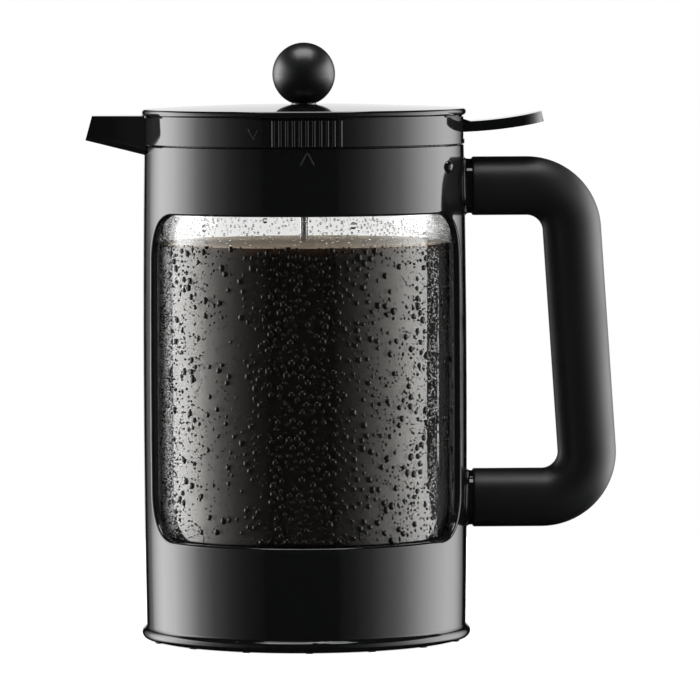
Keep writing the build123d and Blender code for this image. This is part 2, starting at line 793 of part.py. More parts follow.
# ---------------------------------------------------------------- filter
def spiral_plate():
    """Upper plate: dished steel with a ring of holes."""
    low = mesh_bottom + mesh_thickness
    high = low + plate_dish
    t = plate_thickness
    slope_in = plate_hub_radius + plate_slope_width
    slope_out = spiral_plate_radius - plate_slope_width / 2
    body = turned_points(
        (rod_radius + rod_thread_clearance, low),
        (plate_hub_radius, low),
        (slope_in, high),
        (slope_out, high),
        (spiral_plate_radius, low),
        (spiral_plate_radius, low + t),
        (slope_out, high + t),
        (slope_in, high + t),
        (plate_hub_radius, low + t),
        (rod_radius + rod_thread_clearance, low + t),
    )
    hole = disc(plate_hole_radius, low, high + 2 * t, plate_hole_circle)
    return body - around(hole, plate_hole_count)


def filter_coil():
    """Envelope of the fine edge coil that presses the mesh against the glass."""
    height = mesh_bottom + mesh_thickness + coil_gap + coil_radius
    return Pos(0, 0, height) * Torus(coil_centre_radius, coil_radius)


def filter_mesh():
    """Woven disc with a turned-up rim."""
    inner = rod_radius + rod_thread_clearance
    body = ring(filter_radius, inner, mesh_bottom, mesh_bottom + mesh_thickness)
    return body + ring(filter_radius, filter_radius - mesh_thickness, mesh_bottom, mesh_bottom + mesh_rim)


def cross_plate():
    """Lower plate: spokes and rim under the mesh, with a threaded hub."""
    bore = rod_radius + rod_thread_clearance
    bottom = mesh_bottom - plate_thickness
    opening = ring(cross_plate_radius - cross_rim_width, 2 * cross_hub_radius, bottom, mesh_bottom)
    spoke = block(0, cross_plate_radius, cross_spoke_width / 2, bottom, mesh_bottom)
    opening -= around(spoke, cross_spoke_count)
    body = ring(cross_plate_radius, bore, bottom, mesh_bottom) - opening
    return body + ring(cross_hub_radius, bore, cross_hub_bottom, mesh_bottom)


PIECES = [
    frame, foot_ring, beaker_pad, beaker, handle_core, handle_grip, handle_screws,
    lid_body, lid_seal, rod_bushing, lid_cover, thumb_lever, lever_pin, lever_spring, stopper, stopper_seal,
    knob, knob_insert, plunger_rod, spiral_plate, filter_coil, filter_mesh, cross_plate,
]

os.makedirs("parts", exist_ok=True)
for piece in PIECES:
    export_step(piece(), f"parts/{piece.__name__}.step")
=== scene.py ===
import math

import bmesh
import bpy
from mathutils import Matrix, Vector


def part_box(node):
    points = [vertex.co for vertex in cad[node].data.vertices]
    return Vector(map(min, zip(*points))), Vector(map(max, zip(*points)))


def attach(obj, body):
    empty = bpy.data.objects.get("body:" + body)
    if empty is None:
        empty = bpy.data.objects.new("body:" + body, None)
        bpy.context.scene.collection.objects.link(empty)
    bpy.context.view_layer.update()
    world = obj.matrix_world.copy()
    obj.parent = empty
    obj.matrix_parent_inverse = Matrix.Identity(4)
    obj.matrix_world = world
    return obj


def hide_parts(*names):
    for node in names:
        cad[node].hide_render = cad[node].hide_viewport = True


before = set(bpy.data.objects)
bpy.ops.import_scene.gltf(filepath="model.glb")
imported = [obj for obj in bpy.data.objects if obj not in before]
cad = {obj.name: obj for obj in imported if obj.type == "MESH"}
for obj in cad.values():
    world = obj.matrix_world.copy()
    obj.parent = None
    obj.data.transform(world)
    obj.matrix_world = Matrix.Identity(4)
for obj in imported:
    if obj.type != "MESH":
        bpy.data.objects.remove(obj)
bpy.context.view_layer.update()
scene = bpy.context.scene

# ---------------------------------------------------------------- camera
# A long lens two metres away, a little above the knob and tipped down to the maker's middle.
# The maker stands left of the middle so that the handle has room.
aim_distance, lens_height, middle_height, handle_room = 2.128, 0.2378, 0.1071, 0.0168
turned, rolled = math.radians(-1.5), math.radians(-0.242)
aim = Vector((handle_room * math.cos(turned), handle_room * math.sin(turned), middle_height))
eye = aim + Vector((
    aim_distance * math.sin(turned),
    -aim_distance * math.cos(turned),
    lens_height - middle_height,
))
camera_data = bpy.data.cameras.new("camera")
camera_data.lens, camera_data.sensor_width = 293.6, 36
camera = bpy.data.objects.new("camera", camera_data)
scene.collection.objects.link(camera)
facing = (aim - eye).to_track_quat("-Z", "Y").to_matrix().to_4x4()
camera.matrix_world = Matrix.Translation(eye) @ facing @ Matrix.Rotation(rolled, 4, "Z")
scene.camera = camera

# ---------------------------------------------------------------- frame
# One gloss black moulding: a barrel with a beaded foot, two windows and two short necks for the handle.
# A polished tool gives it a mirror skin with a faint ripple from the way the plastic cooled.


def shade(node_or_group, kind, **inputs):
    """Add a shader node, set its properties and constant inputs, and return it."""
    made = node_or_group.nodes.new(kind)
    for name, value in inputs.items():
        if hasattr(made, name):
            setattr(made, name, value)
        else:
            made.inputs[name.replace("_", " ")].default_value = value
    return made


def effect(name, inputs, outputs):
    """Start a shader node group and return it with its input and output nodes."""
    group = bpy.data.node_groups.new(name, "ShaderNodeTree")
    for label, value in inputs.items():
        socket = group.interface.new_socket(label, in_out="INPUT", socket_type="NodeSocketFloat")
        socket.default_value = value
    for label in outputs:
        group.interface.new_socket(label, in_out="OUTPUT", socket_type="NodeSocketFloat")
    return group, group.nodes.new("NodeGroupInput"), group.nodes.new("NodeGroupOutput")


skin_inputs = {
    "Ripple Scale": 40.0, "Grain Scale": 2500.0, "Smooth": 0.06, "Dull": 0.12, "Grain Share": 0.2,
}
moulded_skin, skin_in, skin_out = effect("moulded skin", skin_inputs, ("Roughness", "Height"))
place = shade(moulded_skin, "ShaderNodeTexCoord")
ripple = shade(moulded_skin, "ShaderNodeTexNoise", Detail=2.0)
grain = shade(moulded_skin, "ShaderNodeTexNoise", Detail=3.0)
handled = shade(moulded_skin, "ShaderNodeTexNoise", Scale=23.0, Detail=4.0, Roughness=0.65)
dulled = shade(moulded_skin, "ShaderNodeMapRange")
weighed = shade(moulded_skin, "ShaderNodeMix", data_type="FLOAT")
for source, target in (
    (place.outputs["Object"], ripple.inputs["Vector"]),
    (place.outputs["Object"], grain.inputs["Vector"]),
    (place.outputs["Object"], handled.inputs["Vector"]),
    (skin_in.outputs["Ripple Scale"], ripple.inputs["Scale"]),
    (skin_in.outputs["Grain Scale"], grain.inputs["Scale"]),
    (handled.outputs["Fac"], dulled.inputs["Value"]),
    (skin_in.outputs["Smooth"], dulled.inputs["To Min"]),
    (skin_in.outputs["Dull"], dulled.inputs["To Max"]),
    (dulled.outputs["Result"], skin_out.inputs["Roughness"]),
    (skin_in.outputs["Grain Share"], weighed.inputs["Factor"]),
    (ripple.outputs["Fac"], weighed.inputs["A"]),
    (grain.outputs["Fac"], weighed.inputs["B"]),
    (weighed.outputs["Result"], skin_out.inputs["Height"]),
):
    moulded_skin.links.new(source, target)
dulled.inputs["From Min"].default_value, dulled.inputs["From Max"].default_value = 0.35, 0.7


def principled(name, color, **constants):
    """A new material with its colour and constants set on the shader's own sockets."""
    material = bpy.data.materials.new(name)
    material.use_nodes = True
    shader = material.node_tree.nodes["Principled BSDF"]
    shader.inputs["Base Color"].default_value = (*color, 1)
    for label, value in constants.items():
        shader.inputs[label.replace("_", " ")].default_value = value
    return material, material.node_tree, shader


def add_skin(tree, shader, bump, reach, **values):
    """Put the moulded skin on a material, its height through a bump, and return the bump."""
    skin = shade(tree, "ShaderNodeGroup", node_tree=moulded_skin)
    for label, value in values.items():
        skin.inputs[label.replace("_", " ")].default_value = value
    bumped = shade(tree, "ShaderNodeBump", Strength=bump, Distance=reach)
    tree.links.new(skin.outputs["Roughness"], shader.inputs["Roughness"])
    tree.links.new(skin.outputs["Height"], bumped.inputs["Height"])
    tree.links.new(bumped.outputs["Normal"], shader.inputs["Normal"])
    return bumped


def finish_cad(material, *names):
    """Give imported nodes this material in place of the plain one."""
    for name in names:
        for slot in cad[name].material_slots:
            slot.material = material


black_gloss, tree, shader = principled("black gloss moulding", (0.0042, 0.0044, 0.0046), IOR=1.49)
add_skin(tree, shader, 0.05, 0.0003, Ripple_Scale=34.0, Grain_Scale=1800.0, Smooth=0.05, Dull=0.09)
finish_cad(black_gloss, "frame")

# Lid mark on the frame: an open arrowhead, raised a hair above the wall and moulded with the barrel.
# The lid's own mark turns to it.
mark_line = 0.0006      # width of a mark's rib
mark_root = 0.00004     # how far the rib's edges reach into the wall
mark_sides = 6


def raised_line(name, points, radius, stand, closed, body):
    """A fine half-round rib along points, given as (angle from the front, height)."""
    ridge = bmesh.new()
    loops = []
    count = len(points)
    for k, (angle, height) in enumerate(points):
        before = points[(k - 1) % count] if closed or k else points[k]
        after = points[(k + 1) % count] if closed or k < count - 1 else points[k]
        along = Vector(((after[0] - before[0]) * radius, after[1] - before[1])).normalized()
        across = Vector((-along.y, along.x))
        loop = []
        for s in range(mark_sides + 1):
            swing = math.pi * s / mark_sides
            off, rise = math.cos(swing) * mark_line / 2, math.sin(swing) * stand - mark_root
            a, z = angle + across.x * off / radius, height + across.y * off
            corner = ((radius + rise) * math.sin(a), -(radius + rise) * math.cos(a), z)
            loop.append(ridge.verts.new(corner))
        loops.append(loop)
    pairs = list(zip(loops, loops[1:])) + ([(loops[-1], loops[0])] if closed else [])
    for first, second in pairs:
        for s in range(mark_sides):
            ridge.faces.new((first[s], first[s + 1], second[s + 1], second[s]))
        ridge.faces.new((first[mark_sides], first[0], second[0], second[mark_sides]))
    if not closed:
        ridge.faces.new(loops[0])
        ridge.faces.new(loops[-1][::-1])
    bmesh.ops.recalc_face_normals(ridge, faces=ridge.faces)
    mesh = bpy.data.meshes.new(name)
    ridge.to_mesh(mesh)
    ridge.free()
    mesh.materials.append(black_gloss)
    mark = bpy.data.objects.new(name, mesh)
    scene.collection.objects.link(mark)
    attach(mark, body)


def steps(*corners, count=8):
    """Points along straight runs between corners."""
    line = []
    for (a0, z0), (a1, z1) in zip(corners, corners[1:]):
        line += [(a0 + (a1 - a0) * k / count, z0 + (z1 - z0) * k / count) for k in range(count)]
    return line + [corners[-1]]


wall_at_mark, frame_mark_stand = 0.05975, 0.00024
arrow_half_width, arrow_foot, arrow_tip = 0.0024, 0.1779, 0.1826
raised_line(
    "frame_arrow",
    steps(
        (-arrow_half_width / wall_at_mark, arrow_foot),
        (0, arrow_tip),
        (arrow_half_width / wall_at_mark, arrow_foot),
    ),
    wall_at_mark, frame_mark_stand, False, "frame",
)

# ---------------------------------------------------------------- foot ring
# Soft black ring with small nubs, pushed up into the foot so that the maker doesn't slide.
# Its skin is dull and finely pored.
foot_rubber, tree, shader = principled("foot rubber", (0.012, 0.012, 0.012), Specular_IOR_Level=0.3)
add_skin(
    tree, shader, 0.35, 0.0002,
    Ripple_Scale=160.0, Grain_Scale=3200.0, Smooth=0.62, Dull=0.8, Grain_Share=0.7,
)
finish_cad(foot_rubber, "foot_ring")

# ---------------------------------------------------------------- beaker pad and the lid's seals
# Dark silicone: a flat ring under the glass, the finned ring round the lid's plug, and the washer of
# the stopper. Silicone keeps a soft satin skin.
silicone, tree, shader = principled("dark silicone", (0.03, 0.03, 0.032), IOR=1.41)
add_skin(
    tree, shader, 0.2, 0.0002,
    Ripple_Scale=90.0, Grain_Scale=2400.0, Smooth=0.38, Dull=0.5, Grain_Share=0.5,
)
finish_cad(silicone, "beaker_pad", "lid_seal", "stopper_seal")

# ---------------------------------------------------------------- beaker
# Blown borosilicate cylinder with a rounded foot and a fire-polished rim.
# It is clear, with a faint waviness in its reflections and a breath of fog that shows at its sides.
clear_glass, tree, shader = principled(
    "borosilicate glass", (0.93, 0.935, 0.93),
    IOR=1.47, Roughness=0.0, Transmission_Weight=1.0, Sheen_Weight=0.25, Sheen_Roughness=0.35,
)
place = shade(tree, "ShaderNodeTexCoord")
wave = shade(tree, "ShaderNodeTexNoise", Scale=14.0, Detail=1.0)
bumped = shade(tree, "ShaderNodeBump", Strength=0.03, Distance=0.0006)
tree.links.new(place.outputs["Object"], wave.inputs["Vector"])
tree.links.new(wave.outputs["Fac"], bumped.inputs["Height"])
tree.links.new(bumped.outputs["Normal"], shader.inputs["Normal"])
finish_cad(clear_glass, "beaker")

# ---------------------------------------------------------------- coffee
# Cold coffee up to a little under the windows' top, with a thin tan foam on it.
# It wets the glass, so its side lies on the inner wall.
low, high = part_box("beaker")
beaker_wall, beaker_floor = 0.0022, 0.003
glass_radius = (high.x - low.x) / 2
inner_radius = glass_radius - beaker_wall
coffee_floor = low.z + beaker_floor
coffee_level, foam_thickness, foot_round = 0.1479, 0.0005, 0.0098
edge_band = 0.001       # width of the narrow ring beside a turn of the outline
wet = 0.00003           # how far the coffee reaches into the glass, so that no air lies between
painted_light_from = 0.1435      # above this height the coffee is painted a lighter brown, painted light at its top


def turned_shape(name, outline, materials, segments=128):
    """Solid of revolution from (radius, height, material index of the band that starts there)."""
    body = bmesh.new()
    rings = []
    for radius, height, _ in outline:
        if radius < 1e-7:
            rings.append([body.verts.new((0, 0, height))])
        else:
            turns = [2 * math.pi * k / segments for k in range(segments)]
            rings.append([
                body.verts.new((radius * math.cos(a), radius * math.sin(a), height)) for a in turns
            ])
    for (first, second), (_, _, band) in zip(zip(rings, rings[1:]), outline):
        for k in range(segments):
            n = (k + 1) % segments
            if len(first) == 1:
                face = body.faces.new((first[0], second[n], second[k]))
            elif len(second) == 1:
                face = body.faces.new((first[k], first[n], second[0]))
            else:
                face = body.faces.new((first[k], first[n], second[n], second[k]))
            face.material_index, face.smooth = band, True
    bmesh.ops.recalc_face_normals(body, faces=body.faces)
    mesh = bpy.data.meshes.new(name)
    body.to_mesh(mesh)
    body.free()
    for material in materials:
        mesh.materials.append(material)
    shape = bpy.data.objects.new(name, mesh)
    scene.collection.objects.link(shape)
    return shape


brew, tree, shader = principled(
    "cold coffee", (0.010, 0.0052, 0.0032), Roughness=0.1, Specular_IOR_Level=0.33
)
shader.inputs["Specular Tint"].default_value = (1.0, 0.94, 0.8, 1)
place = shade(tree, "ShaderNodeTexCoord")
split = shade(tree, "ShaderNodeSeparateXYZ")
# The coffee's colour turns from near black to a lighter brown in its top few millimetres: painted light.
painted_top_light = shade(tree, "ShaderNodeMapRange", interpolation_type="SMOOTHSTEP")
tone = shade(tree, "ShaderNodeMix", data_type="RGBA")
painted_top_light.inputs["From Min"].default_value = painted_light_from
painted_top_light.inputs["From Max"].default_value = coffee_level
tone.inputs["A"].default_value = (0.0075, 0.0055, 0.0048, 1)
tone.inputs["B"].default_value = (0.055, 0.026, 0.012, 1)
tree.links.new(place.outputs["Object"], split.inputs["Vector"])
tree.links.new(split.outputs["Z"], painted_top_light.inputs["Value"])
tree.links.new(painted_top_light.outputs["Result"], tone.inputs["Factor"])
tree.links.new(tone.outputs["Result"], shader.inputs["Base Color"])

foam, tree, shader = principled(
    "coffee foam", (0.5, 0.36, 0.24),
    Roughness=0.5, Specular_IOR_Level=0.5, Sheen_Weight=0.8, Sheen_Roughness=0.4,
)
shader.inputs["Sheen Tint"].default_value = (1.0, 0.82, 0.62, 1)
place = shade(tree, "ShaderNodeTexCoord")
bubbles = shade(tree, "ShaderNodeTexVoronoi", Scale=420.0, Randomness=1.0)
patches = shade(tree, "ShaderNodeTexNoise", Scale=46.0, Detail=5.0, Roughness=0.6)
tone = shade(tree, "ShaderNodeMix", data_type="RGBA")
tone.inputs["A"].default_value = (0.55, 0.4, 0.28, 1)
tone.inputs["B"].default_value = (0.82, 0.68, 0.52, 1)
bumped = shade(tree, "ShaderNodeBump", Strength=0.5, Distance=0.0006)
tree.links.new(place.outputs["Object"], bubbles.inputs["Vector"])
tree.links.new(place.outputs["Object"], patches.inputs["Vector"])
tree.links.new(patches.outputs["Fac"], tone.inputs["Factor"])
tree.links.new(tone.outputs["Result"], shader.inputs["Base Color"])
tree.links.new(bubbles.outputs["Distance"], bumped.inputs["Height"])
tree.links.new(bumped.outputs["Normal"], shader.inputs["Normal"])

side = inner_radius + wet
round_line = [
    (
        side - foot_round + foot_round * math.sin(math.radians(a)),
        coffee_floor - wet + foot_round - foot_round * math.cos(math.radians(a)),
        0,
    )
    for a in range(0, 91, 10)
]
outline = [
    (0, coffee_floor - wet, 0),
    *round_line,
    (side, coffee_floor + foot_round + edge_band, 0),
    (side, 0.10, 0),
    (side, coffee_level - foam_thickness, 1),
    (side, coffee_level, 1),
    (side - edge_band, coffee_level, 1),
    (0, coffee_level, 1),
]
coffee = turned_shape("coffee", outline, [brew, foam])
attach(coffee, "frame")

# ---------------------------------------------------------------- condensation
# Beads of water on the outside of the cold glass, where the windows leave it bare.
# Large beads keep apart and small drops fill in. Beside the posts there is a fine mist, and on the handle's
# side a spray of fine drops.
water = principled(
    "condensed water", (1, 1, 1), IOR=1.333, Roughness=0.0, Transmission_Weight=1.0
)[0]
dark_water = principled("water over coffee", (0.0045, 0.004, 0.0036), IOR=1.333, Roughness=0.03)[0]
fog = principled("fine mist", (0.72, 0.72, 0.71), IOR=1.333, Roughness=0.4)[0]


def grow(tree_name, inputs):
    """Start a Geometry Nodes tree with a mesh in and out and the named inputs."""
    made = bpy.data.node_groups.new(tree_name, "GeometryNodeTree")
    made.interface.new_socket("Geometry", in_out="INPUT", socket_type="NodeSocketGeometry")
    kinds = {int: "NodeSocketInt", float: "NodeSocketFloat"}
    for label, value in inputs.items():
        kind = kinds.get(type(value), "NodeSocketMaterial")
        socket = made.interface.new_socket(label, in_out="INPUT", socket_type=kind)
        if kind != "NodeSocketMaterial":
            socket.default_value = value
    made.interface.new_socket("Geometry", in_out="OUTPUT", socket_type="NodeSocketGeometry")
    return made, made.nodes.new("NodeGroupInput"), made.nodes.new("NodeGroupOutput")


def harvest(name, base, made, values):
    """Run a Geometry Nodes tree on a base mesh and keep the result as a plain mesh."""
    grown = bpy.data.objects.new(name, base)
    scene.collection.objects.link(grown)
    modifier = grown.modifiers.new("made", "NODES")
    modifier.node_group = made
    for socket in made.interface.items_tree:
        if socket.in_out == "INPUT" and socket.name in values:
            modifier[socket.identifier] = values[socket.name]
    evaluated = grown.evaluated_get(bpy.context.evaluated_depsgraph_get())
    result = bpy.data.meshes.new_from_object(evaluated)
    grown.modifiers.remove(modifier)
    grown.data = result
    bpy.data.meshes.remove(base)
    return grown


def wire(made, *links):
    """Join sockets of a node tree, pair by pair."""
    for source, target in links:
        made.links.new(source, target)


def calc(made, operation, first, second=None):
    """A Math node on sockets or numbers, and its result socket."""
    node = made.nodes.new("ShaderNodeMath")
    node.operation = operation
    for k, value in enumerate((first, second)):
        if value is None:
            continue
        if isinstance(value, (int, float)):
            node.inputs[k].default_value = value
        else:
            made.links.new(value, node.inputs[k])
    return node.outputs[0]


# Spacing is the least distance between drops, Most their number per square metre, and Smallest and Largest
# their radii. Water is used above the coffee's level and Backed below it.
bead_inputs = {
    "Spacing": 0.002, "Most": 400000.0, "Smallest": 0.0003, "Largest": 0.0008, "Rise": 0.5,
    "Uneven": 0.3, "Round Steps": 10, "Seed": 1, "Water": None, "Backed": None,
}
beading, group_in, group_out = grow("beading", bead_inputs)
wetness = beading.nodes.new("GeometryNodeInputNamedAttribute")
wetness.data_type = "FLOAT"
wetness.inputs["Name"].default_value = "wetness"
where = beading.nodes.new("GeometryNodeInputPosition")
clumps = beading.nodes.new("ShaderNodeTexNoise")
clumps.inputs["Scale"].default_value, clumps.inputs["Detail"].default_value = 95.0, 2.0
clumped = beading.nodes.new("ShaderNodeMapRange")
clumped.inputs["From Min"].default_value, clumped.inputs["From Max"].default_value = 0.25, 0.5
scatter = beading.nodes.new("GeometryNodeDistributePointsOnFaces")
scatter.distribute_method = "POISSON"
dome = beading.nodes.new("GeometryNodeMeshUVSphere")
dome.inputs["Radius"].default_value = 1.0
cut = beading.nodes.new("GeometryNodeDeleteGeometry")
dome_at = beading.nodes.new("GeometryNodeInputPosition")
dome_split = beading.nodes.new("ShaderNodeSeparateXYZ")
soften = beading.nodes.new("GeometryNodeSetShadeSmooth")
face_out = beading.nodes.new("FunctionNodeAlignRotationToVector")
face_out.axis = "Z"
hang = beading.nodes.new("FunctionNodeAlignRotationToVector")
hang.axis, hang.pivot_axis = "Y", "Z"
hang.inputs["Vector"].default_value = (0, 0, 1)
size = beading.nodes.new("FunctionNodeRandomValue")
stretch = beading.nodes.new("FunctionNodeRandomValue")
stretch.inputs[2].default_value, stretch.inputs[3].default_value = 0.9, 1.2
scale = beading.nodes.new("ShaderNodeCombineXYZ")
strew = beading.nodes.new("GeometryNodeInstanceOnPoints")
real = beading.nodes.new("GeometryNodeRealizeInstances")
spread = beading.nodes.new("ShaderNodeTexNoise")
spread.inputs["Scale"].default_value, spread.inputs["Detail"].default_value = 900.0, 1.0
centred = beading.nodes.new("ShaderNodeVectorMath")
centred.operation = "SUBTRACT"
centred.inputs[1].default_value = (0.5, 0.5, 0.5)
pushed = beading.nodes.new("ShaderNodeVectorMath")
pushed.operation = "SCALE"
push = beading.nodes.new("GeometryNodeSetPosition")
dress = beading.nodes.new("GeometryNodeSetMaterial")
dress_low = beading.nodes.new("GeometryNodeSetMaterial")
bead_at = beading.nodes.new("GeometryNodeInputPosition")
bead_split = beading.nodes.new("ShaderNodeSeparateXYZ")
density = calc(beading, "MULTIPLY", wetness.outputs["Attribute"], clumped.outputs["Result"])
unevenness = calc(beading, "MULTIPLY", group_in.outputs["Uneven"], group_in.outputs["Largest"])
wire(
    beading,
    (where.outputs["Position"], clumps.inputs["Vector"]),
    (clumps.outputs["Fac"], clumped.inputs["Value"]),
    (density, scatter.inputs["Density Factor"]),
    (group_in.outputs["Geometry"], scatter.inputs["Mesh"]),
    (group_in.outputs["Spacing"], scatter.inputs["Distance Min"]),
    (group_in.outputs["Most"], scatter.inputs["Density Max"]),
    (group_in.outputs["Seed"], scatter.inputs["Seed"]),
    (group_in.outputs["Round Steps"], dome.inputs["Segments"]),
    (calc(beading, "MULTIPLY", group_in.outputs["Round Steps"], 0.5), dome.inputs["Rings"]),
    (dome.outputs["Mesh"], cut.inputs["Geometry"]),
    (dome_at.outputs["Position"], dome_split.inputs["Vector"]),
    (calc(beading, "LESS_THAN", dome_split.outputs["Z"], -0.01), cut.inputs["Selection"]),
    (cut.outputs["Geometry"], soften.inputs["Geometry"]),
    (scatter.outputs["Points"], strew.inputs["Points"]),
    (soften.outputs["Geometry"], strew.inputs["Instance"]),
    (scatter.outputs["Normal"], face_out.inputs["Vector"]),
    (face_out.outputs["Rotation"], hang.inputs["Rotation"]),
    (hang.outputs["Rotation"], strew.inputs["Rotation"]),
    (group_in.outputs["Smallest"], size.inputs[2]),
    (group_in.outputs["Largest"], size.inputs[3]),
    (group_in.outputs["Seed"], size.inputs["Seed"]),
    (size.outputs[1], scale.inputs["X"]),
    (calc(beading, "MULTIPLY", size.outputs[1], stretch.outputs[1]), scale.inputs["Y"]),
    (calc(beading, "MULTIPLY", size.outputs[1], group_in.outputs["Rise"]), scale.inputs["Z"]),
    (scale.outputs["Vector"], strew.inputs["Scale"]),
    (strew.outputs["Instances"], real.inputs["Geometry"]),
    (real.outputs["Geometry"], push.inputs["Geometry"]),
    (spread.outputs["Color"], centred.inputs[0]),
    (centred.outputs["Vector"], pushed.inputs[0]),
    (unevenness, pushed.inputs["Scale"]),
    (pushed.outputs["Vector"], push.inputs["Offset"]),
    (push.outputs["Geometry"], dress.inputs["Geometry"]),
    (group_in.outputs["Water"], dress.inputs["Material"]),
    (dress.outputs["Geometry"], dress_low.inputs["Geometry"]),
    (bead_at.outputs["Position"], bead_split.inputs["Vector"]),
    (calc(beading, "LESS_THAN", bead_split.outputs["Z"], coffee_level), dress_low.inputs["Selection"]),
    (group_in.outputs["Backed"], dress_low.inputs["Material"]),
    (dress_low.outputs["Geometry"], group_out.inputs["Geometry"]),
)


def along(line, at):
    """Straight-line reading of a profile given as (place, value) pairs."""
    for (place_0, value_0), (place_1, value_1) in zip(line, line[1:]):
        if at <= place_1:
            return value_0 + (value_1 - value_0) * max(at - place_0, 0) / (place_1 - place_0)
    return line[-1][1]


bare_low, bare_high = 0.0395, 0.158     # heights between which a window leaves the glass bare
bare_half_angle = 84                    # degrees to either side of a window's middle
bead_sink = 0.00004                     # the drops sit this far under the glass's skin


def bare_glass(front, across, upward):
    """The glass that one window leaves bare, as a curved sheet under its skin, with its wetness."""
    sheet = bmesh.new()
    wet_layer = sheet.verts.layers.float.new("wetness")
    radius = glass_radius - bead_sink
    around, up = 84, 60
    grid = []
    for i in range(up + 1):
        z = bare_low + (bare_high - bare_low) * i / up
        row = []
        for k in range(around + 1):
            a = -bare_half_angle + 2 * bare_half_angle * k / around
            swing = math.radians(a)
            spot = (radius * math.sin(swing), -radius * math.cos(swing) * front, z)
            row.append(sheet.verts.new(spot))
            row[-1][wet_layer] = along(across, a) * along(upward, z)
        grid.append(row)
    for i in range(up):
        for k in range(around):
            corners = (grid[i][k], grid[i][k + 1], grid[i + 1][k + 1], grid[i + 1][k])
            sheet.faces.new(corners if front > 0 else corners[::-1])
    mesh = bpy.data.meshes.new("bare glass")
    sheet.to_mesh(mesh)
    sheet.free()
    return mesh


# Each kind has its wetness by degrees round the glass from the front, its wetness by height in metres, and
# the values that differ from the tree's own.
evenly = ((0.04, 1.0), (0.158, 1.0))
damp = {
    "beads": (
        (
            (-84, 0.0), (-70, 0.05), (-60, 0.4), (-44, 0.3), (-28, 0.4), (-20, 0.9), (12, 1.0),
            (26, 0.8), (55, 0.45), (61, 0.1),
        ),
        ((0.04, 1.0), (0.145, 1.0), (0.148, 0.15)),
        {
            "Spacing": 0.0025, "Most": 500000.0, "Smallest": 0.0005, "Largest": 0.0013, "Rise": 0.62,
            "Uneven": 0.12, "Round Steps": 14, "Seed": 3,
        },
    ),
    "drops": (
        (
            (-78, 0.0), (-76, 0.7), (-50, 0.6), (-36, 0.25), (-20, 0.25), (24, 0.3), (40, 0.6),
            (60, 0.65), (62, 1.0), (75, 1.0), (76, 0.0),
        ),
        ((0.04, 1.0), (0.146, 1.0), (0.148, 2.2)),
        {
            "Spacing": 0.0012, "Most": 1300000.0, "Smallest": 0.0003, "Largest": 0.00055, "Rise": 0.8,
            "Uneven": 0.1, "Round Steps": 8, "Seed": 5,
        },
    ),
    "spray": (
        ((60.5, 0.0), (61.5, 1.0), (75.5, 1.0), (76.5, 0.0)),
        evenly,
        {
            "Spacing": 0.00052, "Most": 9000000.0, "Smallest": 0.00018, "Largest": 0.00034,
            "Rise": 0.8, "Uneven": 0.1, "Round Steps": 6, "Seed": 9,
        },
    ),
    "mist": (
        (
            (-77, 0.0), (-76, 1.0), (-64, 1.0), (-58, 0.35), (-54, 0.0), (53, 0.0), (56, 0.35),
            (61, 0.4), (62, 0.0), (84, 0.0),
        ),
        ((0.04, 0.9), (0.146, 0.9), (0.148, 0.0)),
        {
            "Spacing": 0.00038, "Most": 15000000.0, "Smallest": 0.00014, "Largest": 0.00026,
            "Rise": 0.8, "Uneven": 0.2, "Round Steps": 6, "Seed": 7,
        },
    ),
}
for side_name, front in (("front", 1), ("back", -1)):
    for kind, (across, upward, values) in damp.items():
        above, below = (fog, fog) if kind == "mist" else (water, dark_water)
        values = {**values, "Water": above, "Backed": below}
        piece = harvest(f"{side_name}_{kind}", bare_glass(front, across, upward), beading, values)
        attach(piece, "frame")

# ---------------------------------------------------------------- handle
# A rigid core screwed into the frame's necks, under a soft-touch sleeve moulded over it.
# The sleeve is matte, finely pored, and takes only a soft sheen along its outside.
soft_touch, tree, shader = principled("soft-touch sleeve", (0.0048, 0.0052, 0.0052), IOR=1.5)
add_skin(
    tree, shader, 0.25, 0.00012,
    Ripple_Scale=140.0, Grain_Scale=3600.0, Smooth=0.40, Dull=0.5, Grain_Share=0.75,
)
finish_cad(soft_touch, "handle_grip")

plain_moulding, tree, shader = principled("plain black moulding", (0.015, 0.015, 0.0155))
add_skin(tree, shader, 0.15, 0.0002, Ripple_Scale=80.0, Grain_Scale=2200.0, Smooth=0.35, Dull=0.5)
finish_cad(plain_moulding, "handle_core")

# ---------------------------------------------------------------- steel parts
# Screws, axle, spring, rod and filter are stainless steel, with fine lines round the vertical axis and a
# cloudy wear over them.
steel_inputs = {"Line Scale": 900.0, "Smooth": 0.18, "Dull": 0.34}
steel_grain, steel_in, steel_out = effect("steel grain", steel_inputs, ("Roughness", "Height"))
place = shade(steel_grain, "ShaderNodeTexCoord")
squeezed = shade(steel_grain, "ShaderNodeMapping")
squeezed.inputs["Scale"].default_value = (0.04, 0.04, 1)
lines = shade(steel_grain, "ShaderNodeTexNoise", Detail=4.0)
cloud = shade(steel_grain, "ShaderNodeTexNoise", Scale=60.0, Detail=3.0)
summed = shade(steel_grain, "ShaderNodeMix", data_type="FLOAT", Factor=0.5)
worn = shade(steel_grain, "ShaderNodeMapRange")
worn.inputs["From Min"].default_value, worn.inputs["From Max"].default_value = 0.35, 0.65
wire(
    steel_grain,
    (place.outputs["Object"], squeezed.inputs["Vector"]),
    (squeezed.outputs["Vector"], lines.inputs["Vector"]),
    (steel_in.outputs["Line Scale"], lines.inputs["Scale"]),
    (place.outputs["Object"], cloud.inputs["Vector"]),
    (lines.outputs["Fac"], summed.inputs["A"]),
    (cloud.outputs["Fac"], summed.inputs["B"]),
    (summed.outputs["Result"], worn.inputs["Value"]),
    (steel_in.outputs["Smooth"], worn.inputs["To Min"]),
    (steel_in.outputs["Dull"], worn.inputs["To Max"]),
    (worn.outputs["Result"], steel_out.inputs["Roughness"]),
    (lines.outputs["Fac"], steel_out.inputs["Height"]),
)


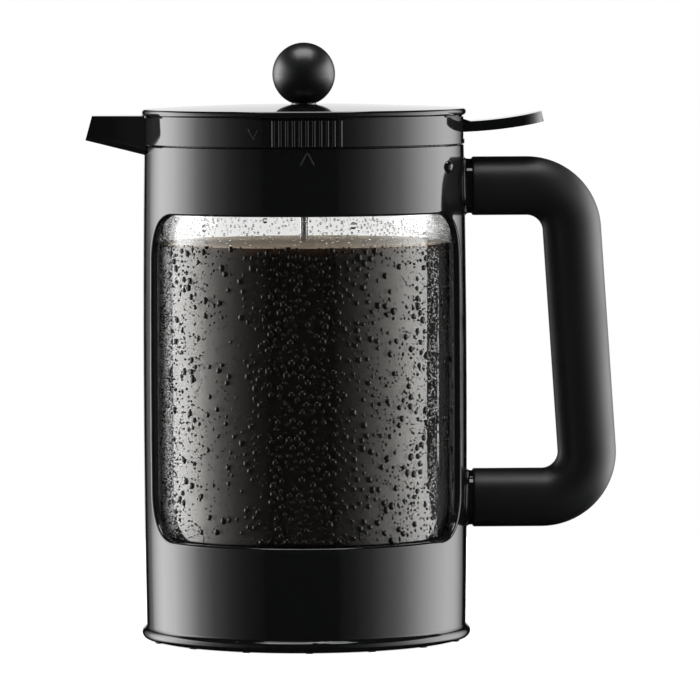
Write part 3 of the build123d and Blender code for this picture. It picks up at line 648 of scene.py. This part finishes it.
def steel(name, color, bump, **values):
    """Stainless steel with its own grain."""
    material, tree, shader = principled(name, color, Metallic=1.0)
    grained = shade(tree, "ShaderNodeGroup", node_tree=steel_grain)
    for label, value in values.items():
        grained.inputs[label.replace("_", " ")].default_value = value
    bumped = shade(tree, "ShaderNodeBump", Strength=bump, Distance=0.0001)
    wire(
        tree,
        (grained.outputs["Roughness"], shader.inputs["Roughness"]),
        (grained.outputs["Height"], bumped.inputs["Height"]),
        (bumped.outputs["Normal"], shader.inputs["Normal"]),
    )
    return material


fastener_steel = steel(
    "fastener steel", (0.58, 0.58, 0.59), 0.15, Line_Scale=1400.0, Smooth=0.25, Dull=0.4
)
spring_wire = steel("spring wire", (0.6, 0.59, 0.58), 0.1, Line_Scale=1600.0, Smooth=0.2, Dull=0.35)
polished_steel = steel(
    "polished rod steel", (0.66, 0.65, 0.64), 0.05, Line_Scale=2400.0, Smooth=0.08, Dull=0.18
)
pressed_steel = steel(
    "pressed sheet steel", (0.6, 0.59, 0.58), 0.12, Line_Scale=700.0, Smooth=0.16, Dull=0.3
)
finish_cad(fastener_steel, "handle_screws", "lever_pin")
finish_cad(spring_wire, "lever_spring")
finish_cad(polished_steel, "plunger_rod")
finish_cad(pressed_steel, "spiral_plate", "cross_plate")

# ---------------------------------------------------------------- lid
# Band with finger ribs and a flared spout, floor, plug and cover, all in the frame's gloss black.
# Its mark is a small outlined triangle on the band that points down at the frame.
finish_cad(black_gloss, "lid_body", "lid_cover")
band_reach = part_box("lid_body")[1].y
wall_at_lid_mark, lid_mark_stand, lid_mark_angle = 0.0599, 0.00012, math.radians(-18.8)
mark_half_width, mark_top, mark_tip = 0.0019, 0.1908, 0.1874
corners = [
    (lid_mark_angle + off / band_reach, height)
    for off, height in (
        (-mark_half_width, mark_top),
        (mark_half_width, mark_top),
        (0.0, mark_tip),
        (-mark_half_width, mark_top),
    )
]
raised_line("lid_arrow", steps(*corners)[:-1], wall_at_lid_mark, lid_mark_stand, True, "lid")

# ---------------------------------------------------------------- thumb lever and stopper
# Gloss black rocker on an axle in the lid, with its thumb tab outside the band.
# Its inner arm lifts the stopper off the pour hole. The stopper is a plain moulding whose stem snaps
# through the arm.
finish_cad(black_gloss, "thumb_lever")
finish_cad(plain_moulding, "stopper")

# ---------------------------------------------------------------- rod bushing
# Pale low-friction bush in the middle of the lid, which the rod slides in.
# It is left in the plastic's natural milky colour.
bush_plastic, tree, shader = principled(
    "milky bush plastic", (0.72, 0.71, 0.68), Subsurface_Weight=0.15, Subsurface_Scale=0.001
)
add_skin(tree, shader, 0.1, 0.0001, Ripple_Scale=200.0, Grain_Scale=2600.0, Smooth=0.3, Dull=0.42)
finish_cad(bush_plastic, "rod_bushing")

# ---------------------------------------------------------------- knob
# Ball knob, satin black, pressed over a threaded brass insert.
# The two halves of its mould meet in a fine line round the middle.
knob_low, knob_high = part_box("knob")
knob_radius = (knob_high.x - knob_low.x) / 2
knob_middle = knob_high.z - knob_radius
seam_half_width = 0.00012
satin, tree, shader = principled("satin knob moulding", (0.006, 0.0064, 0.0065), IOR=1.5)
bumped = add_skin(
    tree, shader, 0.12, 0.0002, Ripple_Scale=150.0, Grain_Scale=2800.0, Smooth=0.3, Dull=0.36
)
place = shade(tree, "ShaderNodeTexCoord")
split = shade(tree, "ShaderNodeSeparateXYZ")
off = shade(tree, "ShaderNodeMath", operation="SUBTRACT")
off.inputs[1].default_value = knob_middle
away = shade(tree, "ShaderNodeMath", operation="ABSOLUTE")
seam = shade(tree, "ShaderNodeMapRange")
seam.inputs["From Min"].default_value, seam.inputs["From Max"].default_value = seam_half_width, 0.0
seam_bump = shade(tree, "ShaderNodeBump", Strength=0.25, Distance=0.0001)
wire(
    tree,
    (place.outputs["Object"], split.inputs["Vector"]),
    (split.outputs["Z"], off.inputs[0]),
    (off.outputs[0], away.inputs[0]),
    (away.outputs[0], seam.inputs["Value"]),
    (seam.outputs["Result"], seam_bump.inputs["Height"]),
    (bumped.outputs["Normal"], seam_bump.inputs["Normal"]),
    (seam_bump.outputs["Normal"], shader.inputs["Normal"]),
)
finish_cad(satin, "knob")

turned_brass = steel("turned brass", (0.72, 0.50, 0.22), 0.1, Line_Scale=1500.0, Smooth=0.2, Dull=0.35)
finish_cad(turned_brass, "knob_insert")

# ---------------------------------------------------------------- filter spring
# One long coil of fine wire, bent round into a ring and clipped in the edge of the spiral plate.
# It presses the woven disc against the glass.
coil_low, coil_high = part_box("filter_coil")
tube = (coil_high.z - coil_low.z) / 2
ring_radius = coil_high.x - tube
winding_inputs = {
    "Ring": ring_radius, "Tube": tube, "Turns": 150.0, "Wire": 0.00028, "Steps": 1350,
    "Height": 0.0, "Steel": None,
}
winding, group_in, group_out = grow("winding", winding_inputs)
round_line = winding.nodes.new("GeometryNodeCurvePrimitiveCircle")
number = winding.nodes.new("GeometryNodeInputIndex")

share = calc(winding, "DIVIDE", number.outputs[0], group_in.outputs["Steps"])
turn = calc(winding, "MULTIPLY", share, 2 * math.pi)
twist = calc(winding, "MULTIPLY", turn, group_in.outputs["Turns"])
inner = calc(winding, "SUBTRACT", group_in.outputs["Tube"], group_in.outputs["Wire"])
outward = calc(winding, "MULTIPLY", inner, calc(winding, "COSINE", twist))
reach = calc(winding, "ADD", group_in.outputs["Ring"], outward)
at = winding.nodes.new("ShaderNodeCombineXYZ")
upright = calc(winding, "MULTIPLY", inner, calc(winding, "SINE", twist))
lift = calc(winding, "ADD", group_in.outputs["Height"], upright)
wire(
    winding,
    (calc(winding, "MULTIPLY", reach, calc(winding, "COSINE", turn)), at.inputs["X"]),
    (calc(winding, "MULTIPLY", reach, calc(winding, "SINE", turn)), at.inputs["Y"]),
    (lift, at.inputs["Z"]),
)
bend = winding.nodes.new("GeometryNodeSetPosition")
profile = winding.nodes.new("GeometryNodeCurvePrimitiveCircle")
profile.inputs["Resolution"].default_value = 5
to_mesh = winding.nodes.new("GeometryNodeCurveToMesh")
soften = winding.nodes.new("GeometryNodeSetShadeSmooth")
real = winding.nodes.new("GeometryNodeRealizeInstances")
dress = winding.nodes.new("GeometryNodeSetMaterial")
wire(
    winding,
    (group_in.outputs["Steps"], round_line.inputs["Resolution"]),
    (round_line.outputs["Curve"], bend.inputs["Geometry"]),
    (at.outputs["Vector"], bend.inputs["Position"]),
    (bend.outputs["Geometry"], to_mesh.inputs["Curve"]),
    (group_in.outputs["Wire"], profile.inputs["Radius"]),
    (profile.outputs["Curve"], to_mesh.inputs["Profile Curve"]),
    (to_mesh.outputs["Mesh"], soften.inputs["Geometry"]),
    (soften.outputs["Geometry"], real.inputs["Geometry"]),
    (real.outputs["Geometry"], dress.inputs["Geometry"]),
    (group_in.outputs["Steel"], dress.inputs["Material"]),
    (dress.outputs["Geometry"], group_out.inputs["Geometry"]),
)
edge_coil = harvest(
    "edge_coil", bpy.data.meshes.new("edge coil"), winding,
    {"Height": (coil_low.z + coil_high.z) / 2, "Steel": spring_wire},
)
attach(edge_coil, "plunger")
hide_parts("filter_coil")

# ---------------------------------------------------------------- filter mesh
# Disc of woven stainless wire with its rim turned up, held between the two plates.
# The weave has about four wires in three millimetres and shows as a fine bump, with painted shade between the
# wires.
weave_scale = 420.0
woven = steel("woven steel", (0.5, 0.49, 0.48), 0.0, Line_Scale=900.0, Smooth=0.3, Dull=0.45)
tree = woven.node_tree
shader = tree.nodes["Principled BSDF"]
place = shade(tree, "ShaderNodeTexCoord")
warp = shade(tree, "ShaderNodeTexWave", bands_direction="X", Scale=weave_scale)
weft = shade(tree, "ShaderNodeTexWave", bands_direction="Y", Scale=weave_scale)
over = shade(tree, "ShaderNodeMath", operation="MAXIMUM")
# Darker colour between the wires: painted shade in the weave's gaps.
painted_gap_shade = shade(tree, "ShaderNodeMix", data_type="RGBA")
painted_gap_shade.inputs["A"].default_value = (0.12, 0.12, 0.12, 1)
painted_gap_shade.inputs["B"].default_value = (0.56, 0.55, 0.54, 1)
weave_bump = shade(tree, "ShaderNodeBump", Strength=0.8, Distance=0.0001)
wire(
    tree,
    (place.outputs["Object"], warp.inputs["Vector"]),
    (place.outputs["Object"], weft.inputs["Vector"]),
    (warp.outputs["Fac"], over.inputs[0]),
    (weft.outputs["Fac"], over.inputs[1]),
    (over.outputs[0], painted_gap_shade.inputs["Factor"]),
    (painted_gap_shade.outputs["Result"], shader.inputs["Base Color"]),
    (over.outputs[0], weave_bump.inputs["Height"]),
    (weave_bump.outputs["Normal"], shader.inputs["Normal"]),
)
finish_cad(woven, "filter_mesh")

# ---------------------------------------------------------------- floor, backdrop and light
# White table and white surroundings, two tall soft boxes left and right of the maker and a small one over
# it. The tall boxes are brightest a little behind it and fade towards the camera.
table_radius, table_drop = 0.4, 0.0002
table_glow = 0.8        # seen by the camera only
floor_mesh = bpy.data.meshes.new("table")
table_top = bmesh.new()
bmesh.ops.create_circle(table_top, cap_ends=True, segments=96, radius=table_radius)
table_top.to_mesh(floor_mesh)
table_top.free()
table = bpy.data.objects.new("table", floor_mesh)
scene.collection.objects.link(table)
table.location.z = -table_drop
table.visible_glossy = False
white_top, tree, shader = principled(
    "white table", (0.8, 0.8, 0.8), Roughness=0.6, Specular_IOR_Level=0.1
)
seen = shade(tree, "ShaderNodeLightPath")
glow = calc(tree, "MULTIPLY", seen.outputs["Is Camera Ray"], table_glow)
shader.inputs["Emission Color"].default_value = (1, 1, 1, 1)
tree.links.new(glow, shader.inputs["Emission Strength"])
floor_mesh.materials.append(white_top)

# The camera sees plain white. Sheens see a small white card behind the maker, glass sees the white behind
# it, and matte surfaces are lit by a dimmer white from all round.
matte_white = 0.6       # strength of the white that lights matte surfaces
around_us = bpy.data.worlds.new("surroundings")
scene.world = around_us
around_us.use_nodes = True
tree = around_us.node_tree
sky = tree.nodes["Background"]
sky.inputs["Color"].default_value = (1, 1, 1, 1)
seen = shade(tree, "ShaderNodeLightPath")
heading = shade(tree, "ShaderNodeTexCoord")
split = shade(tree, "ShaderNodeSeparateXYZ")
card = shade(tree, "ShaderNodeMapRange", interpolation_type="SMOOTHSTEP")
card.inputs["From Min"].default_value, card.inputs["From Max"].default_value = 0.972, 0.985
wire(tree, (heading.outputs["Generated"], split.inputs["Vector"]), (split.outputs["Y"], card.inputs["Value"]))
in_gloss = calc(tree, "MULTIPLY", seen.outputs["Is Glossy Ray"], card.outputs["Result"])
behind = shade(tree, "ShaderNodeMapRange", interpolation_type="SMOOTHSTEP")
behind.inputs["From Min"].default_value, behind.inputs["From Max"].default_value = 0.86, 0.965
behind.inputs["To Min"].default_value = 0.06
tree.links.new(split.outputs["Y"], behind.inputs["Value"])
in_glass = calc(tree, "MULTIPLY", seen.outputs["Is Transmission Ray"], behind.outputs["Result"])
through = calc(tree, "MAXIMUM", seen.outputs["Is Camera Ray"], in_glass)
bounced = calc(tree, "GREATER_THAN", seen.outputs["Diffuse Depth"], 0.5)
on_matte = calc(tree, "MULTIPLY", bounced, matte_white)
strength = calc(tree, "MAXIMUM", calc(tree, "MAXIMUM", through, in_gloss), on_matte)
tree.links.new(strength, sky.inputs["Strength"])


box_distance, box_low, box_high = 0.9, -0.42, 0.72
end_fade = 6.0          # how steeply a box's two ends fade


def soft_box(name, side, profile, distance, low, high):
    """A tall soft box bent round the maker: flat panels between (angle from the front, level) pairs."""
    for k, ((angle_0, level_0), (angle_1, level_1)) in enumerate(zip(profile, profile[1:])):
        middle = math.radians((angle_0 + angle_1) / 2)
        half = math.radians((angle_1 - angle_0) / 2)
        data = bpy.data.lights.new(f"{name} {k}", "AREA")
        data.shape = "RECTANGLE"
        data.size, data.size_y = 2 * distance * math.tan(half), high - low
        data.energy = data.size * data.size_y * math.pi
        data.use_nodes = True
        nodes = data.node_tree
        place = shade(nodes, "ShaderNodeNewGeometry")
        split = shade(nodes, "ShaderNodeSeparateXYZ")
        fade = shade(nodes, "ShaderNodeMapRange")
        first_level, last_level = (level_0, level_1)[::side]
        fade.inputs["To Min"].default_value = first_level
        fade.inputs["To Max"].default_value = last_level
        from_top = calc(nodes, "SUBTRACT", 1.0, split.outputs["Y"])
        from_end = calc(nodes, "MULTIPLY", split.outputs["Y"], from_top)
        ends = calc(nodes, "MINIMUM", calc(nodes, "MULTIPLY", from_end, end_fade), 1.0)
        level = calc(nodes, "MULTIPLY", fade.outputs["Result"], ends)
        wire(
            nodes,
            (place.outputs["Parametric"], split.inputs["Vector"]),
            (split.outputs["X"], fade.inputs["Value"]),
            (level, nodes.nodes["Emission"].inputs["Strength"]),
        )
        lamp = bpy.data.objects.new(f"{name} {k}", data)
        scene.collection.objects.link(lamp)
        centre = Vector((0, 0, (low + high) / 2))
        spot = Vector((side * math.sin(middle), -math.cos(middle), 0)) * distance + centre
        inward = (centre - spot).to_track_quat("-Z", "Y").to_matrix().to_4x4()
        lamp.matrix_world = Matrix.Translation(spot) @ inward
        lamp.visible_camera = False


left_profile = (
    (30, 0.03), (44, 0.14), (55, 0.38), (68, 0.98), (81, 2.4), (87, 3.8), (93, 5.0), (100, 5.9),
    (107, 6.5), (114, 6.0), (122, 5.1), (132, 2.9), (144, 0.5), (156, 0.0),
)
right_profile = (
    (22, 0.04), (33, 0.16), (44, 0.42), (56, 1.05), (69, 2.0), (82, 3.8), (90, 4.7), (98, 5.1),
    (107, 5.0), (116, 4.4), (127, 3.0), (139, 1.2), (150, 0.0),
)
soft_box("left box", -1, left_profile, box_distance, box_low, box_high)
soft_box("right box", 1, right_profile, box_distance, box_low, box_high)
top_level, top_box_at, top_box_aim = 6.0, (0, -0.05, 0.85), Vector((0, 0, 0.12))
overhead = bpy.data.lights.new("top box", "AREA")
overhead.shape, overhead.size, overhead.size_y = "RECTANGLE", 0.56, 0.44
overhead.energy = top_level * overhead.size * overhead.size_y * math.pi
top_lamp = bpy.data.objects.new("top box", overhead)
scene.collection.objects.link(top_lamp)
top_lamp.location = top_box_at
top_lamp.rotation_euler = (top_box_aim - top_lamp.location).to_track_quat("-Z", "Y").to_euler()
top_lamp.visible_camera = False

scene.view_settings.view_transform = "Standard"
